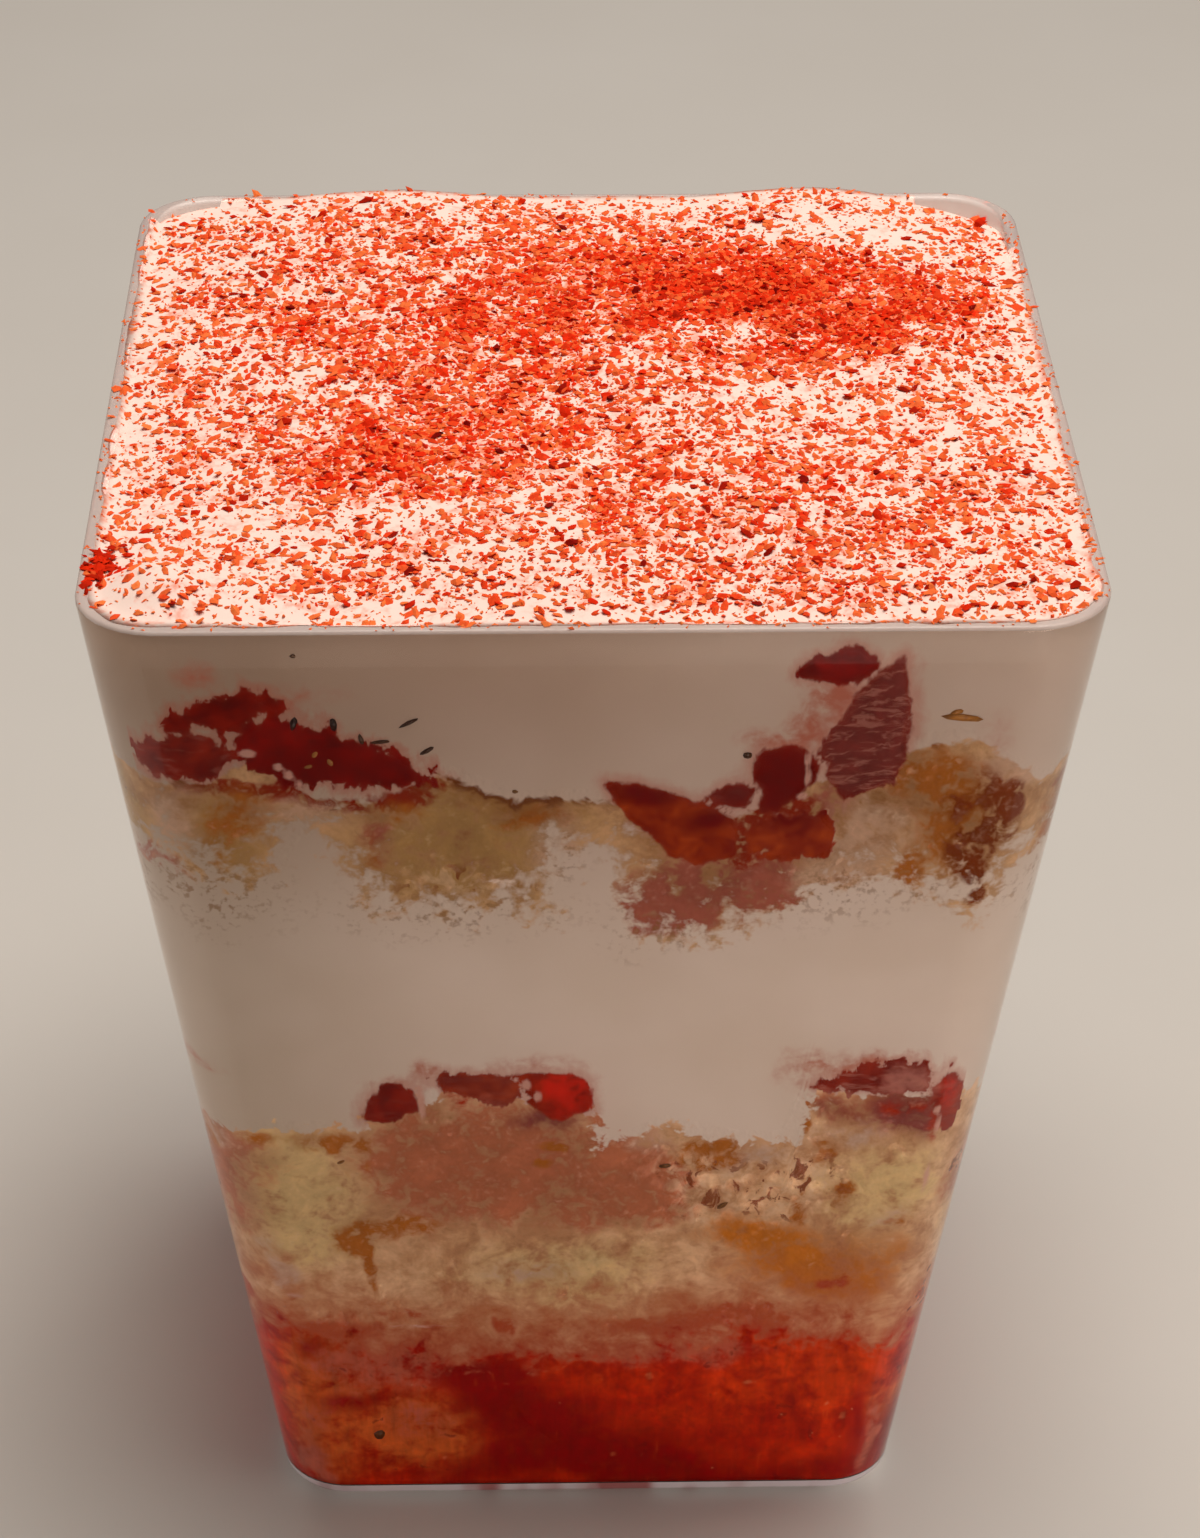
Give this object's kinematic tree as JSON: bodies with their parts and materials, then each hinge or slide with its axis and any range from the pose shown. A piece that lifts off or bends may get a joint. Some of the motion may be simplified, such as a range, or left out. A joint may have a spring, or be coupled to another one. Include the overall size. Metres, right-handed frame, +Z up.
{
  "type": "strawberry shortcake parfait",
  "caption": "Strawberry and cream parfait filled to the rim of a clear square tapered cup, layered with sponge cake, cut strawberries and compote, its top dusted with strawberry crumbs.",
  "frame": {"origin": "centre of the cup's base, on the surface that it stands on", "axes": "+Z up, -Y towards the front, +X to the right of the front"},
  "size_m": [0.06, 0.06, 0.0754],
  "materials": {
    "clear_plastic": "clear moulded plastic, smooth and glossy",
    "cream": "whipped cream, smooth and slightly moist, warm white",
    "sponge": "open-crumbed yellow sponge, soaked pink with strawberry juice in places",
    "compote": "wet translucent strawberry compote, orange red",
    "strawberry": "cut ripe strawberry, moist, dark red with paler flesh"
  },
  "bodies": {
    "root": {"berry_base_back_1": "strawberry", "berry_base_chunk": "strawberry", "berry_base_dark_half": "strawberry", "berry_base_half": "strawberry", "berry_base_left_1": "strawberry", "berry_base_right_1": "strawberry", "berry_lower_back_1": "strawberry", "berry_lower_back_2": "strawberry", "berry_lower_back_3": "strawberry", "berry_lower_chunk": "strawberry", "berry_lower_corner_wedge": "strawberry", "berry_lower_dice": "strawberry", "berry_lower_flat_slice": "strawberry", "berry_lower_left_1": "strawberry", "berry_lower_left_2": "strawberry", "berry_lower_left_3": "strawberry", "berry_lower_right_1": "strawberry", "berry_lower_right_2": "strawberry", "berry_lower_right_3": "strawberry", "berry_lower_thin_slice": "strawberry", "berry_upper_back_1": "strawberry", "berry_upper_back_2": "strawberry", "berry_upper_back_3": "strawberry", "berry_upper_chip": "strawberry", "berry_upper_chunk": "strawberry", "berry_upper_corner_slice": "strawberry", "berry_upper_left_1": "strawberry", "berry_upper_left_2": "strawberry", "berry_upper_left_3": "strawberry", "berry_upper_long_slice": "strawberry", "berry_upper_right_1": "strawberry", "berry_upper_right_2": "strawberry", "berry_upper_right_3": "strawberry", "berry_upper_seedy_dice": "strawberry", "berry_upper_soft_chunk": "strawberry", "berry_upper_streaked_slice": "strawberry", "berry_upper_tall_dice": "strawberry", "berry_upper_wedge": "strawberry", "cream_middle": "cream", "cream_top": "cream", "cup": "clear_plastic", "sponge_lower": "sponge", "sponge_upper": "sponge", "strawberry_compote": "compote"}
  },
  "joints": []
}
